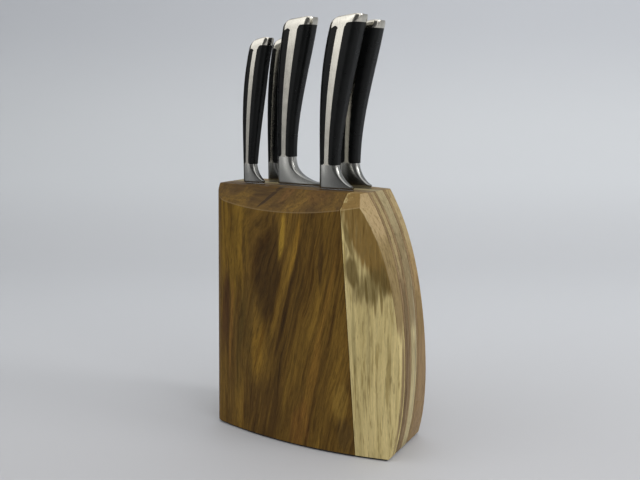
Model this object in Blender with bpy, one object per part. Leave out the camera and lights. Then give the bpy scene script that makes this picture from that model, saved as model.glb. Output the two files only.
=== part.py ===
"""Wooden knife block with five kitchen knives. Metres, +Z up, front of the block towards -Y.

The block is a stack of upright boards. Spacer strips between the boards leave the slots,
and each knife hangs in its slot with its bolster just above the top of the block.
"""
import math

import bmesh
import bpy
from mathutils import Matrix

# block
BLOCK_HEIGHT = 0.225            # floor to top face
BLOCK_LEFT = -0.0742            # flat left end
ARC_RADIUS = 0.353              # plan radius of the front and back faces
ARC_CENTRE_X = 0.0005
FRONT_Y = -0.0365               # foremost line of the front face
CORNER_FLOOR = 0.008            # rounding of the upright edge between left end and front, at the floor
CORNER_TOP = 0.021              # and at the top
BACK_TOP_Y = 0.0363             # rearmost line of the back face, at the top
BACK_LEAN = 0.110               # the back face comes out this much per metre going down
BEVEL_TOP_Y = -0.0174           # front edge of the top face
BEVEL_RUN = 1.055               # the bevel comes forward this much per metre going down
END_CURVE = (0.1053, 0.1207, 0.1100, 0.1154, 0.0737)   # control X of the right end, floor to top
END_TURN = 0.03                 # the end face turns in by this much per metre of depth
END_RISE = 0.17                 # and its curve rises by this much per metre of depth
PAD_THICKNESS = 0.0015
PAD_INSET = 0.002
GLUE_GAP = 0.0003               # between pieces that touch
JOINT_TOP_X = 0.0620            # slanting glue joint of the front boards, at the top
JOINT_BOTTOM_X = 0.0773         # and at the floor

# slots
SLOT_WIDTH = 0.0036
SLOT_SIDE = 0.0012              # room beside a blade's spine and edge
ROW_Y = {"front": -0.0050, "middle": 0.0035, "back": 0.0175}

# blades and handles
BLADE_THICK = 0.0022
EDGE_THICK = 0.0005
HOVER = 0.0018                  # underside of the bolsters above the block
TANG_LENGTH = 0.045             # above the underside of the bolster
TANG_THICK = 0.0018
TANG_WALL = 0.0007              # steel of the band on each side of the tang
TANG_ROOT = 0.0010              # the tang starts this far inside the blade
FIT_GAP = 0.0003                # between a knife's own pieces
CAP_DEPTH = 0.0069              # butt cap above the wide insert
CAP_DROP = 0.0014               # the narrow insert ends this much lower
CORNER_RADIUS = 0.0032          # top corners of the inserts
BUTT_ROUND = 0.0060             # rounding of the butt towards the back of the handle
DOME = 0.0030                   # crown of the butt
DOME_APEX = 0.72                # where the crown is highest, as a share of the handle's width
HANDLE_ROUNDING = 0.36          # corner radius in plan, as a share of the handle's thickness
TOE_HEIGHT = 0.0014             # thickness of the bolster's toe
TOE_THICK = 0.0034              # width of the bolster at its toe
TAPER_START = 0.0080            # the bolster narrows from here to its toe

# One entry for each knife. spine: X of the blade's back. blade and length: its width and length.
# tip: length of the curved point. bolster: its height. flare: how late the bolster opens to its toe.
# handle: height of the butt above the block. width, thick: at the bolster and at the butt.
# swell: where the handle widens, as shares of its length. lean, bend: how far the butt comes
# towards the edge side, and how late. band: the steel band, as shares of the handle's width.
KNIVES = {
    "utility": dict(row="front", spine=-0.0533, blade=0.0212, length=0.125, tip=0.030,
                    bolster=0.0176, flare=1.8, handle=0.1280, width=(0.0105, 0.0203),
                    thick=(0.0100, 0.0135), swell=(-0.24, 0.71), lean=0.0110, bend=2.77,
                    band=(0.37, 0.575)),
    "paring": dict(row="back", spine=-0.0424, blade=0.0195, length=0.090, tip=0.026,
                   bolster=0.0176, flare=1.8, handle=0.1288, width=(0.0105, 0.0203),
                   thick=(0.0100, 0.0135), swell=(-0.24, 0.71), lean=0.0080, bend=2.77,
                   band=(0.37, 0.575)),
    "chef": dict(row="middle", spine=-0.0210, blade=0.0460, length=0.200, tip=0.085,
                 bolster=0.0253, flare=2.6, handle=0.1444, width=(0.0166, 0.0298),
                 thick=(0.0120, 0.0170), swell=(0.0, 0.95), lean=0.0088, bend=2.99,
                 band=(0.36, 0.615)),
    "carving": dict(row="front", spine=0.0286, blade=0.0318, length=0.190, tip=0.060,
                    bolster=0.0210, flare=1.75, handle=0.1440, width=(0.0170, 0.0297),
                    thick=(0.0120, 0.0175), swell=(-0.085, 0.865), lean=0.0125, bend=2.77,
                    band=(0.37, 0.590)),
    "bread": dict(row="back", spine=0.0351, blade=0.0296, length=0.200, tip=0.035,
                  bolster=0.0213, flare=1.8, handle=0.1403, width=(0.0172, 0.0280),
                  thick=(0.0120, 0.0170), swell=(-0.03, 0.92), lean=0.0116, bend=2.37,
                  band=(0.37, 0.590)),
}

COLOURS = {
    "heartwood": ((0.19, 0.115, 0.055), 0.48, 0.0),
    "sapwood": ((0.50, 0.40, 0.24), 0.50, 0.0),
    "spacer_wood": ((0.33, 0.22, 0.12), 0.52, 0.0),
    "pad_rubber": ((0.02, 0.02, 0.02), 0.80, 0.0),
    "blade_steel": ((0.62, 0.61, 0.60), 0.28, 1.0),
    "bolster_steel": ((0.42, 0.42, 0.43), 0.38, 1.0),
    "cap_steel": ((0.78, 0.75, 0.71), 0.18, 1.0),
    "black_insert": ((0.012, 0.012, 0.013), 0.35, 0.0),
}


def clear_scene():
    for old in list(bpy.data.objects):
        bpy.data.objects.remove(old, do_unlink=True)


def new_collection(name):
    made = bpy.data.collections.new(name)
    bpy.context.scene.collection.children.link(made)
    return made


def make_material(name):
    colour, roughness, metallic = COLOURS[name]
    material = bpy.data.materials.new(name)
    material.use_nodes = True
    shader = material.node_tree.nodes["Principled BSDF"]
    shader.inputs["Base Color"].default_value = (*colour, 1.0)
    shader.inputs["Roughness"].default_value = roughness
    shader.inputs["Metallic"].default_value = metallic
    material.diffuse_color = (*colour, 1.0)
    return material


def add_mesh(name, mesh, collection, material=None):
    thing = bpy.data.objects.new(name, mesh)
    collection.objects.link(thing)
    if material:
        mesh.materials.clear()
        mesh.materials.append(material)
    return thing


def plate(name, outline, depth):
    """A mesh of a flat closed outline in XZ, depth thick in Y and centred on Y = 0."""
    curve = bpy.data.curves.new(name, "CURVE")
    curve.dimensions = "2D"
    curve.fill_mode = "BOTH"
    curve.extrude = depth / 2
    spline = curve.splines.new("POLY")
    spline.points.add(len(outline) - 1)
    for point, (x, z) in zip(spline.points, outline):
        point.co = (x, z, 0.0, 1.0)
    spline.use_cyclic_u = True
    guide = bpy.data.objects.new(name, curve)
    bpy.context.scene.collection.objects.link(guide)
    graph = bpy.context.evaluated_depsgraph_get()
    mesh = bpy.data.meshes.new_from_object(guide.evaluated_get(graph))
    bpy.data.objects.remove(guide)
    bpy.data.curves.remove(curve)
    mesh.transform(Matrix.Rotation(math.pi / 2, 4, "X"))
    weld(mesh)
    return mesh


def weld(mesh):
    shape = bmesh.new()
    shape.from_mesh(mesh)
    bmesh.ops.remove_doubles(shape, verts=shape.verts, dist=1e-6)
    bmesh.ops.recalc_face_normals(shape, faces=shape.faces)
    shape.to_mesh(mesh)
    shape.free()


def box_mesh(name, low, high):
    shape = bmesh.new()
    size = [top - bottom for bottom, top in zip(low, high)]
    centre = [(top + bottom) / 2 for bottom, top in zip(low, high)]
    bmesh.ops.create_cube(shape, size=1.0, matrix=Matrix.Translation(centre) @ Matrix.Diagonal((*size, 1.0)))
    mesh = bpy.data.meshes.new(name)
    shape.to_mesh(mesh)
    shape.free()
    return mesh


def loft(name, rings):
    """A closed mesh through rings of equally many points, each ring anticlockwise seen from the last one."""
    shape = bmesh.new()
    layers = [[shape.verts.new(point) for point in ring] for ring in rings]
    for lower, upper in zip(layers, layers[1:]):
        for i in range(len(lower)):
            j = (i + 1) % len(lower)
            shape.faces.new((lower[i], lower[j], upper[j], upper[i]))
    shape.faces.new(list(reversed(layers[0])))
    shape.faces.new(layers[-1])
    bmesh.ops.recalc_face_normals(shape, faces=shape.faces)
    mesh = bpy.data.meshes.new(name)
    shape.to_mesh(mesh)
    shape.free()
    return mesh


def combine(target, cutter_mesh, operation):
    """Apply one exact Boolean to the target object and give it the result as its mesh."""
    cutter = add_mesh(target.name + "_cutter", cutter_mesh, cutters)
    cutter.display_type = "WIRE"
    cutter.hide_render = True
    modifier = target.modifiers.new("boolean", "BOOLEAN")
    modifier.operation = operation
    modifier.solver = "EXACT"
    modifier.object = cutter
    graph = bpy.context.evaluated_depsgraph_get()
    result = bpy.data.meshes.new_from_object(target.evaluated_get(graph))
    target.modifiers.remove(modifier)
    result.name = target.name
    target.data = result
    bpy.data.objects.remove(cutter)


def shade(thing, angle=30.0):
    thing.data.shade_smooth()
    thing.data.set_sharp_from_angle(angle=math.radians(angle))


def arc_sag(x):
    """How far the front and back faces fall back from their middle line at x."""
    return ARC_RADIUS - math.sqrt(ARC_RADIUS ** 2 - (x - ARC_CENTRE_X) ** 2)


def end_x(z):
    """X of the right end of the front face at height z, a fourth-degree Bezier curve."""
    t = z / BLOCK_HEIGHT
    return sum(math.comb(4, i) * t ** i * (1 - t) ** (4 - i) * x for i, x in enumerate(END_CURVE))


def front_line(z, inset, right, turns=7, steps=28):
    """The front outline at height z, from the left end round the corner to the right, as (x, y)."""
    left, centre_y = BLOCK_LEFT + inset, FRONT_Y + ARC_RADIUS
    corner = CORNER_FLOOR + (CORNER_TOP - CORNER_FLOOR) * z / BLOCK_HEIGHT
    radius = ARC_RADIUS - inset
    start = math.asin((ARC_CENTRE_X - left - corner) / (radius - corner))
    end = math.asin((ARC_CENTRE_X - right) / radius)
    points = []
    for i in range(turns):
        angle = math.pi + (math.pi / 2 - start) * i / turns
        points.append((left + corner + corner * math.cos(angle),
                       centre_y - (radius - corner) * math.cos(start) + corner * math.sin(angle)))
    for i in range(steps + 1):
        angle = start + (end - start) * i / steps
        points.append((ARC_CENTRE_X - radius * math.sin(angle), centre_y - radius * math.cos(angle)))
    return points


def bulk_mesh(bottom, inset=0.0, steps=28):
    """The block between its curved front, its flat left end and its leaning curved back."""
    right = max(end_x(BLOCK_HEIGHT * i / steps) for i in range(steps + 1)) + 0.008
    rings = []
    for z in (bottom, BLOCK_HEIGHT):
        lean = BACK_LEAN * (BLOCK_HEIGHT - z)
        front = [(x, y, z) for x, y in front_line(z, inset, right)]
        back = []
        for i in range(steps + 1):
            x = BLOCK_LEFT + inset + (right - BLOCK_LEFT - inset) * i / steps
            back.append((x, BACK_TOP_Y - inset + lean - arc_sag(x), z))
        rings.append(front + back[::-1])
    return loft("bulk", rings)


def end_mesh(inset=0.0, steps=26):
    """Everything left of the curved right end."""
    low, high = -0.03, BLOCK_HEIGHT + 0.03
    outline = [(BLOCK_LEFT - 0.05, low)]
    for i in range(steps + 1):
        z = low + (high - low) * i / steps
        outline.append((end_x(z) - inset, z))
    outline.append((BLOCK_LEFT - 0.05, high))
    mesh = plate("end", outline, 0.3)
    turn = Matrix.Identity(4)
    turn[0][1] = -END_TURN
    turn[2][1] = END_RISE
    reference = Matrix.Translation((0.0, FRONT_Y + arc_sag(END_CURVE[0]), 0.0))
    mesh.transform(reference @ turn @ reference.inverted())
    return mesh


def bevel_mesh():
    """A wedge in front of and above the sloped edge of the top face."""
    far = 0.1
    outline = [
        (BEVEL_TOP_Y + far * BEVEL_RUN, BLOCK_HEIGHT + far),
        (BEVEL_TOP_Y - far * BEVEL_RUN, BLOCK_HEIGHT - far),
        (BEVEL_TOP_Y - far * BEVEL_RUN - far, BLOCK_HEIGHT + far),
    ]
    rings = [[(x, y, z) for y, z in outline] for x in (-0.2, 0.2)]
    return loft("bevel", rings)


def joint_x(z):
    return JOINT_BOTTOM_X + (JOINT_TOP_X - JOINT_BOTTOM_X) * z / BLOCK_HEIGHT


def joint_side(sign):
    """A slab on one side of the slanting glue joint: -1 left of it, +1 right of it."""
    low, high, far = -0.02, BLOCK_HEIGHT + 0.02, sign * 0.25
    edge = sign * GLUE_GAP / 2
    outline = [(joint_x(low) + edge, low), (joint_x(high) + edge, high), (far, high), (far, low)]
    return plate("joint", outline, 0.3)


def slab(name, y_low, y_high, x_low=-0.2, x_high=0.2):
    return box_mesh(name, (x_low, y_low, -0.05), (x_high, y_high, BLOCK_HEIGHT + 0.05))


def slot_span(knife):
    """X of both ends of a knife's slot."""
    return knife["spine"] - SLOT_SIDE, knife["spine"] + knife["blade"] + SLOT_SIDE


def block_piece(name, low, high, material):
    """The part of the block between two corners, given as (x, y); None means up to the outside."""
    piece = add_mesh(name, block_form.copy(), parts)
    far = 0.3
    x_low, x_high = (low[0] if low[0] is not None else -far), (high[0] if high[0] is not None else far)
    y_low, y_high = (low[1] if low[1] is not None else -far), (high[1] if high[1] is not None else far)
    combine(piece, slab(name, y_low, y_high, x_low, x_high), "INTERSECT")
    finish_board(piece, material)
    return piece


def finish_board(piece, material):
    piece.data.materials.clear()
    piece.data.materials.append(materials[material])
    shade(piece, 20.0)


def make_block_form():
    form = add_mesh("block_form", bulk_mesh(PAD_THICKNESS + GLUE_GAP), cutters)
    combine(form, end_mesh(), "INTERSECT")
    combine(form, bevel_mesh(), "DIFFERENCE")
    mesh = form.data
    bpy.data.objects.remove(form)
    return mesh


def make_row(row, label, lined_with):
    """The spacer strips of one row, which leave a slot for each of its knives."""
    half = SLOT_WIDTH / 2 - GLUE_GAP
    y_low, y_high = ROW_Y[row] - half, ROW_Y[row] + half
    spans = sorted(slot_span(knife) for knife in KNIVES.values() if knife["row"] == row)
    names = ["left", "middle", "right"] if len(spans) == 2 else ["left", "right"]
    starts = [None] + [end for start, end in spans]
    ends = [start for start, end in spans] + [None]
    for name, start, end in zip(names, starts, ends):
        block_piece(f"{label}_spacer_{name}", (start, y_low), (end, y_high), lined_with)


def make_front_boards():
    back = ROW_Y["front"] - SLOT_WIDTH / 2
    for name, sign, material in (("front_board_dark", -1, "heartwood"), ("front_board_pale", 1, "sapwood")):
        board = add_mesh(name, block_form.copy(), parts)
        combine(board, slab(name, -0.3, back), "INTERSECT")
        combine(board, joint_side(sign), "INTERSECT")
        finish_board(board, material)


def make_inner_boards():
    half = SLOT_WIDTH / 2
    block_piece("inner_board_front", (None, ROW_Y["front"] + half), (None, ROW_Y["middle"] - half), "sapwood")
    block_piece("inner_board_back", (None, ROW_Y["middle"] + half), (None, ROW_Y["back"] - half), "heartwood")
    block_piece("back_board", (None, ROW_Y["back"] + half), (None, None), "spacer_wood")


def make_pad():
    pad = add_mesh("base_pad", bulk_mesh(0.0, PAD_INSET), parts)
    combine(pad, end_mesh(PAD_INSET), "INTERSECT")
    combine(pad, box_mesh("pad", (-0.2, -0.2, -0.01), (0.2, 0.2, PAD_THICKNESS)), "INTERSECT")
    finish_board(pad, "pad_rubber")


# Each knife is built upright with its spine at X = 0 and the top of the block at Z = 0.

def smooth_step(t):
    t = min(max(t, 0.0), 1.0)
    return t * t * (3 - 2 * t)


def mix(ends, share):
    return ends[0] + (ends[1] - ends[0]) * share


def along(knife, h):
    """Height h as a share of the handle's length, 0 at the bolster and 1 at the butt."""
    return (h - knife["bolster"]) / (knife["handle"] - knife["bolster"])


def swollen(knife, h):
    start, end = knife["swell"]
    return smooth_step((along(knife, h) - start) / (end - start))


def spine_line(knife, h):
    """X of the handle's back at height h."""
    start = 0.03
    return knife["lean"] * max(0.0, (h - start) / (knife["handle"] - start)) ** knife["bend"]


def across(knife, h, part):
    """X at a share of the handle's width: 0 is its back, 1 its belly."""
    return spine_line(knife, h) + mix(knife["width"], swollen(knife, h)) * part


def thick_at(knife, h):
    return mix(knife["thick"], swollen(knife, h))


def crown_drop(knife, h, part):
    """How far the crown of the butt falls at a share of the width; it fades out down the handle."""
    return 2 * DOME * (part - DOME_APEX) ** 2 * smooth_step(along(knife, h)) ** 3


def rounded_ring(x_low, x_high, y_half, radius, sides=5):
    """A rounded rectangle in plan, anticlockwise seen from above, as (x, y) points."""
    points = []
    corners = [(x_high, -y_half, -90), (x_high, y_half, 0), (x_low, y_half, 90), (x_low, -y_half, 180)]
    for x, y, start in corners:
        centre_x = x - math.copysign(radius, x - (x_low + x_high) / 2)
        centre_y = y - math.copysign(radius, y)
        for i in range(sides + 1):
            angle = math.radians(start + 90 * i / sides)
            points.append((centre_x + radius * math.cos(angle), centre_y + radius * math.sin(angle)))
    return points


def handle_mesh(knife, steps=15):
    """The whole handle as one form, from the top of the bolster to the butt."""
    bottom, shoulder = knife["bolster"], knife["handle"] - BUTT_ROUND
    heights = [bottom + (shoulder - bottom) * i / steps for i in range(steps + 1)]
    heights += [shoulder + BUTT_ROUND * math.sin(math.radians(a)) for a in (25, 45, 62, 78)]
    rings = []
    for h in heights:
        up = max(0.0, (h - shoulder) / BUTT_ROUND)
        pull = BUTT_ROUND * (1 - math.sqrt(1 - up * up))
        x_low, x_high = across(knife, h, 0.0) + 0.8 * pull, across(knife, h, 1.0) - 0.12 * pull
        y_half = thick_at(knife, h) / 2 - 0.22 * pull
        radius = HANDLE_ROUNDING * thick_at(knife, h) * (1 - 0.25 * up)
        ring = []
        for x, y in rounded_ring(x_low, x_high, y_half, radius):
            part = (x - x_low) / (x_high - x_low)
            ring.append((x, y, h - crown_drop(knife, h, part)))
        rings.append(ring)
    return loft("handle", rings)


def insert_region(knife, low, high, top, offset):
    """Outline of the space between two shares of the handle's width, up to a height.

    A share of None runs out past the handle. offset moves every inner edge outwards.
    """
    bottom, crown, reach, steps = knife["bolster"] - 0.004, top + offset, 0.012, 12
    level = [bottom + (crown - CORNER_RADIUS - bottom) * i / steps for i in range(steps + 1)]
    turns = [math.radians(a) for a in (30, 60, 90)]

    def left(h):
        return across(knife, h, 0.0) - reach if low is None else across(knife, h, low) - offset

    def right(h):
        return across(knife, h, 1.0) + reach if high is None else across(knife, h, high) + offset

    outline = [(right(h), h) for h in level]
    if high is None:
        outline.append((right(crown), crown))
    else:
        outline += [(right(crown) - CORNER_RADIUS * (1 - math.cos(a)),
                     crown - CORNER_RADIUS * (1 - math.sin(a))) for a in turns]
    start = outline[-1][0]
    end = left(crown) + (CORNER_RADIUS if low is not None else 0.0)
    outline += [(start + (end - start) * i / 5, crown) for i in (1, 2, 3, 4)]
    if low is None:
        outline.append((left(crown), crown))
    else:
        outline += [(left(crown) + CORNER_RADIUS * (1 - math.cos(a)),
                     crown - CORNER_RADIUS * (1 - math.sin(a))) for a in reversed(turns)]
    outline += [(left(h), h) for h in reversed(level)]

    def part(x, h):
        share = (x - across(knife, h, 0.0)) / (across(knife, h, 1.0) - across(knife, h, 0.0))
        return min(max(share, 0.0), 1.0)

    return [(x, h - crown_drop(knife, h, part(x, h))) for x, h in outline]


def tang_mesh(knife, gap):
    """The tang, which rises inside the steel band; with a gap, the room for it."""
    low, high, steps = HOVER - TANG_ROOT - gap, HOVER + TANG_LENGTH + gap, 6
    band_start, band_end = knife["band"]
    left, right = [], []
    for i in range(steps + 1):
        h = low + (high - low) * i / steps
        base = max(h, knife["bolster"])
        left.append((across(knife, base, band_start) + TANG_WALL - gap, h))
        right.append((across(knife, base, band_end) - TANG_WALL + gap, h))
    return plate("tang", right + left[::-1], TANG_THICK + 2 * gap)


def make_blade(name, knife):
    """A wedge-ground blade hanging point down, with its tang."""
    width, length, tip = knife["blade"], knife["length"], knife["tip"]
    top, straight = HOVER - FIT_GAP, length - tip
    half, edge = BLADE_THICK / 2, EDGE_THICK / 2
    depths = [0.0, 0.5 * straight, straight]
    depths += [straight + tip * t for t in (0.2, 0.4, 0.6, 0.75, 0.87, 0.95, 0.99)]
    rings = []
    for depth in depths:
        pointed = max(0.0, (depth - straight) / tip)
        back = 0.10 * width * pointed ** 2
        reach = max(width * math.sqrt(1 - pointed ** 2.2), back + 0.002)
        grind = back + 0.55 * (reach - back)
        ring = [(back, -half), (grind, -0.85 * half), (reach, -edge),
                (reach, edge), (grind, 0.85 * half), (back, half)]
        rings.append([(x, y, top - depth) for x, y in ring])
    blade = add_mesh(name + "_blade", loft("blade", rings[::-1]), parts)
    combine(blade, tang_mesh(knife, 0.0), "UNION")
    return finish_knife_piece(blade, "blade_steel")


def bolster_mesh(knife):
    """Flat sides that taper to a thin toe, under a hollow flare from the handle to the heel."""
    top, toe, width = knife["bolster"] - FIT_GAP, HOVER + TOE_HEIGHT, knife["blade"]
    neck = across(knife, top, 1.0)
    rise = [0.0, 0.03, 0.08, 0.15, 0.24, 0.35, 0.5, 0.67, 0.84, 1.0]
    levels = [(HOVER, width - 0.0006), (HOVER + 0.0005, width)]
    for u in rise:
        levels.append((toe + (top - toe) * u, neck + (width - neck) * (1 - u ** 0.75) ** knife["flare"]))
    y_half = knife["thick"][0] / 2
    slope = (1 - TOE_THICK / 2 / y_half) / (width - TAPER_START)
    rings = []
    for h, reach in levels:
        ring = rounded_ring(0.0, reach, y_half, HANDLE_ROUNDING * 2 * y_half)
        rings.append([(x, y * (1 - slope * max(0.0, x - TAPER_START)), h) for x, y in ring])
    return loft("bolster", rings)


def make_bolster(name, knife):
    body = add_mesh(name + "_bolster", bolster_mesh(knife), parts)
    combine(body, tang_mesh(knife, FIT_GAP), "DIFFERENCE")
    return finish_knife_piece(body, "bolster_steel")


def make_handle(name, knife):
    """The steel frame, and the two black inserts that fill it."""
    wide_top = knife["handle"] - CAP_DEPTH
    band_start, band_end = knife["band"]
    regions = {
        "spine_insert": (None, band_start, wide_top - CAP_DROP),
        "belly_insert": (band_end, None, wide_top),
    }
    frame = add_mesh(name + "_handle_frame", handle_mesh(knife), parts)
    made = []
    for label, (low, high, top) in regions.items():
        insert = add_mesh(f"{name}_{label}", handle_mesh(knife), parts)
        combine(insert, plate("region", insert_region(knife, low, high, top, -FIT_GAP), 0.08), "INTERSECT")
        combine(frame, plate("region", insert_region(knife, low, high, top, 0.0), 0.08), "DIFFERENCE")
        made.append(finish_knife_piece(insert, "black_insert"))
    combine(frame, tang_mesh(knife, FIT_GAP), "DIFFERENCE")
    made.append(finish_knife_piece(frame, "cap_steel"))
    return made


def finish_knife_piece(piece, material):
    piece.data.materials.clear()
    piece.data.materials.append(materials[material])
    shade(piece, 32.0)
    return piece


def make_knife(name, knife):
    """All five pieces, hung from an empty at the knife's place in its slot."""
    holder = bpy.data.objects.new(name, None)
    parts.objects.link(holder)
    holder.location = (knife["spine"], ROW_Y[knife["row"]], BLOCK_HEIGHT)
    pieces = [make_blade(name, knife), make_bolster(name, knife), *make_handle(name, knife)]
    for piece in pieces:
        piece.parent = holder


clear_scene()
parts = new_collection("knife block with knives")
cutters = new_collection("cutters")
cutters.hide_render = True
materials = {name: make_material(name) for name in COLOURS}

block_form = make_block_form()
make_front_boards()
make_inner_boards()
make_row("front", "front", "spacer_wood")
make_row("middle", "middle", "spacer_wood")
make_row("back", "back", "spacer_wood")
make_pad()
for knife_name, settings in KNIVES.items():
    make_knife(knife_name, settings)
bpy.context.view_layer.update()
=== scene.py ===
import math

import bmesh
import bpy
from mathutils import Matrix, Vector


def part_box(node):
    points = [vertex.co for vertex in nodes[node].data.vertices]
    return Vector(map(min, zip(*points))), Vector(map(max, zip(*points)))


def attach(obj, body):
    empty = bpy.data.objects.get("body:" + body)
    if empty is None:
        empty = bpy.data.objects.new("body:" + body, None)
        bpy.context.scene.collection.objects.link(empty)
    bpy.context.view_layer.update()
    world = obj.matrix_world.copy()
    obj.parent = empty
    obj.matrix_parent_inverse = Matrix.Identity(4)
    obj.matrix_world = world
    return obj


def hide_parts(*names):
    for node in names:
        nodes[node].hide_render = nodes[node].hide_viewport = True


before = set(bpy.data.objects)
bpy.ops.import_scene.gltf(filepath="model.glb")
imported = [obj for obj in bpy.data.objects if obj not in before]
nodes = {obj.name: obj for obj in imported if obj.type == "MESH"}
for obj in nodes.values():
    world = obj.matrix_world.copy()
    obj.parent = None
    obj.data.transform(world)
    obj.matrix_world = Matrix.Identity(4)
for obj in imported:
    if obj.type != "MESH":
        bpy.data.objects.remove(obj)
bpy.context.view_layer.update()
print("frame loaded:", len(nodes), "nodes")


# helpers for shader trees

def feed(tree, socket, value):
    # sets a socket's own value, or links what brings it
    if isinstance(value, bpy.types.NodeSocket):
        tree.links.new(value, socket)
    elif isinstance(value, (tuple, list)) and len(value) == 3 and socket.type == "RGBA":
        socket.default_value = (*value, 1.0)
    else:
        socket.default_value = value


def addNode(tree, kind, options=None, **values):
    made = tree.nodes.new(kind)
    for key, value in (options or {}).items():
        setattr(made, key, value)
    for key, value in values.items():
        feed(tree, made.inputs[key.replace("_", " ")], value)
    return made


def calc(tree, operation, a, b):
    made = tree.nodes.new("ShaderNodeMath")
    made.operation = operation
    feed(tree, made.inputs[0], a)
    feed(tree, made.inputs[1], b)
    return made.outputs[0]


def vecCalc(tree, operation, a, b=None):
    made = tree.nodes.new("ShaderNodeVectorMath")
    made.operation = operation
    feed(tree, made.inputs[0], a)
    if b is not None:
        feed(tree, made.inputs[1], b)
    return made.outputs["Value"] if operation in ("LENGTH", "DOT_PRODUCT") else made.outputs[0]


def ramp(tree, value, low, high, outLow=0.0, outHigh=1.0, smooth=True):
    made = tree.nodes.new("ShaderNodeMapRange")
    made.interpolation_type = "SMOOTHSTEP" if smooth else "LINEAR"
    for key, item in (("Value", value), ("From Min", low), ("From Max", high),
                      ("To Min", outLow), ("To Max", outHigh)):
        feed(tree, made.inputs[key], item)
    return made.outputs[0]


def blendColour(tree, factor, a, b, mode="MIX"):
    made = tree.nodes.new("ShaderNodeMix")
    made.data_type = "RGBA"
    made.blend_type = mode
    feed(tree, made.inputs[0], factor)
    feed(tree, made.inputs[6], a)
    feed(tree, made.inputs[7], b)
    return made.outputs[2]


def noise(tree, vector, scale, detail=2.0, roughness=0.5, distortion=0.0):
    made = addNode(tree, "ShaderNodeTexNoise", Vector=vector, Scale=scale, Detail=detail,
                   Roughness=roughness, Distortion=distortion)
    return made.outputs[0]


def newGroup(name, takes, gives):
    # an empty group with named sockets: the tree, what comes in and what goes out
    tree = bpy.data.node_groups.new(name, "ShaderNodeTree")
    kinds = {"vector": "NodeSocketVector", "value": "NodeSocketFloat"}
    for label, kind in takes:
        tree.interface.new_socket(label, in_out="INPUT", socket_type=kinds[kind])
    for label, kind in gives:
        tree.interface.new_socket(label, in_out="OUTPUT", socket_type=kinds[kind])
    return tree, tree.nodes.new("NodeGroupInput").outputs, tree.nodes.new("NodeGroupOutput").inputs


def useGroup(tree, group, **values):
    made = tree.nodes.new("ShaderNodeGroup")
    made.node_tree = group
    for key, value in values.items():
        feed(tree, made.inputs[key], value)
    return made.outputs


def newMaterial(name):
    made = bpy.data.materials.new(name)
    made.use_nodes = True
    return made, made.node_tree, made.node_tree.nodes["Principled BSDF"]


def linear(part):
    return ((part + 0.055) / 1.055) ** 2.4 if part > 0.04045 else part / 12.92


def srgb(red, green, blue):
    # a given tone, each part 0 to 255, as shaders take it
    return tuple(linear(part / 255) for part in (red, green, blue))


# shared effects

grain = {
    "drift": (26.0, 26.0, 10.0),       # how fast the grain wanders, across and up the board
    "driftDepth": 0.35,                # the share of that wander that goes into the board
    # the lean has its least share up to the first x, and all of it from the second
    "leanStart": -0.06, "leanEnd": 0.01, "leastLean": 0.15,
    "bandStretch": 0.09, "streakStretch": 0.05, "poreStretch": 0.11,
    "streaksPerBand": 4.5, "coarseFibre": 520.0, "fineFibre": 1500.0, "poreScale": 700.0,
    "tooth": (260.0, 260.0, 16.0),     # ragged ends of the patches
}


def buildGrainFlow():
    # bends straight grain, which wanders and leans with height
    # Wandering keeps its place on the board, and Flow runs along the grain
    tree, takes, gives = newGroup(
        "grainFlow",
        [("Place", "vector"), ("Lean", "value"), ("Wander", "value")],
        [("Flow", "vector"), ("Wandering", "vector")])
    slow = vecCalc(tree, "MULTIPLY", takes["Place"], grain["drift"])
    drift = calc(tree, "SUBTRACT", noise(tree, slow, 1.0, 2.0), 0.5)
    drift = calc(tree, "MULTIPLY", drift, takes["Wander"])
    parts = addNode(tree, "ShaderNodeSeparateXYZ", Vector=takes["Place"]).outputs
    across = calc(tree, "ADD", parts["X"], drift)
    deep = calc(tree, "ADD", parts["Y"], calc(tree, "MULTIPLY", drift, grain["driftDepth"]))
    wandering = addNode(tree, "ShaderNodeCombineXYZ", X=across, Y=deep, Z=parts["Z"])
    feed(tree, gives["Wandering"], wandering.outputs[0])
    spread = ramp(tree, parts["X"], grain["leanStart"], grain["leanEnd"], grain["leastLean"], 1.0)
    lean = calc(tree, "MULTIPLY", calc(tree, "MULTIPLY", parts["Z"], takes["Lean"]), spread)
    flow = addNode(tree, "ShaderNodeCombineXYZ", X=calc(tree, "SUBTRACT", across, lean), Y=deep, Z=parts["Z"])
    feed(tree, gives["Flow"], flow.outputs[0])
    return tree


def buildWoodGrain():
    # growth bands, narrow streaks, fine fibres and open pores, all drawn out along the board
    tree, takes, gives = newGroup(
        "woodGrain",
        [("Flow", "vector"), ("Bands", "value")],
        [("Band", "value"), ("Streak", "value"), ("Fibre", "value"), ("Pore", "value")])
    wide, narrow, short = (vecCalc(tree, "MULTIPLY", takes["Flow"], (1.0, 1.0, grain[key]))
                           for key in ("bandStretch", "streakStretch", "poreStretch"))
    feed(tree, gives["Band"], noise(tree, wide, takes["Bands"], 4.0, 0.6, 0.6))
    streaks = calc(tree, "MULTIPLY", takes["Bands"], grain["streaksPerBand"])
    feed(tree, gives["Streak"], noise(tree, narrow, streaks, 4.0, 0.62, 0.5))
    coarse = calc(tree, "MULTIPLY", noise(tree, narrow, grain["coarseFibre"], 3.0, 0.7), 0.6)
    fine = calc(tree, "MULTIPLY", noise(tree, short, grain["fineFibre"], 2.0, 0.65), 0.4)
    feed(tree, gives["Fibre"], calc(tree, "ADD", coarse, fine))
    feed(tree, gives["Pore"], ramp(tree, noise(tree, short, grain["poreScale"], 1.0, 0.5), 0.60, 0.70))
    return tree


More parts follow.
